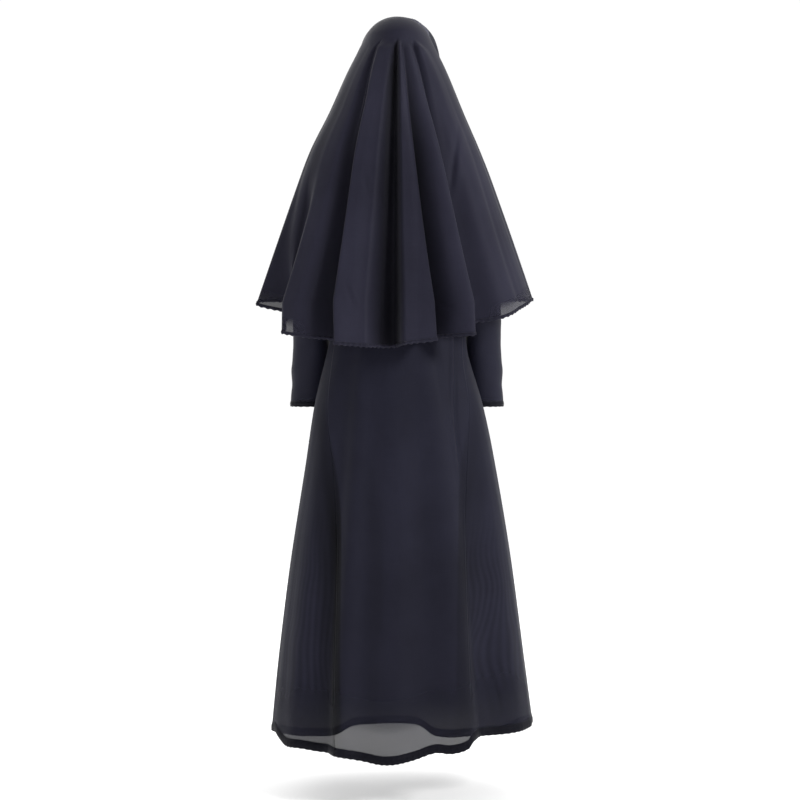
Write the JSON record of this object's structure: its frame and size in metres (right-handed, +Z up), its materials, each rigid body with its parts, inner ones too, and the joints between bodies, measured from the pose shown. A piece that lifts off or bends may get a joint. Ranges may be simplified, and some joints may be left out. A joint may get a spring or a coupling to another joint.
{
  "type": "nun habit with veil",
  "caption": "Black habit as worn: long flared robe with full-length sleeves and an open hem, under a veil on a band that falls over the shoulders and back.",
  "frame": {"origin": "the base of the wearer's neck, on the line of the shoulders, 1.42 m above the floor that the wearer stands on", "axes": "+Z up along the wearer, -Y to the wearer's front, +X to the wearer's left"},
  "size_m": [0.6065, 0.4274, 1.6336],
  "materials": {
    "robe_cloth": "thin smooth black plain weave, soft sheen",
    "veil_cloth": "thin smooth black plain weave, slightly see-through in one layer"
  },
  "bodies": {
    "root": {"robe_back": "robe_cloth", "robe_front": "robe_cloth", "robe_gore_left": "robe_cloth", "robe_gore_right": "robe_cloth", "sleeve_left": "robe_cloth", "sleeve_right": "robe_cloth", "veil": "veil_cloth", "veil_band": "veil_cloth"}
  },
  "joints": []
}
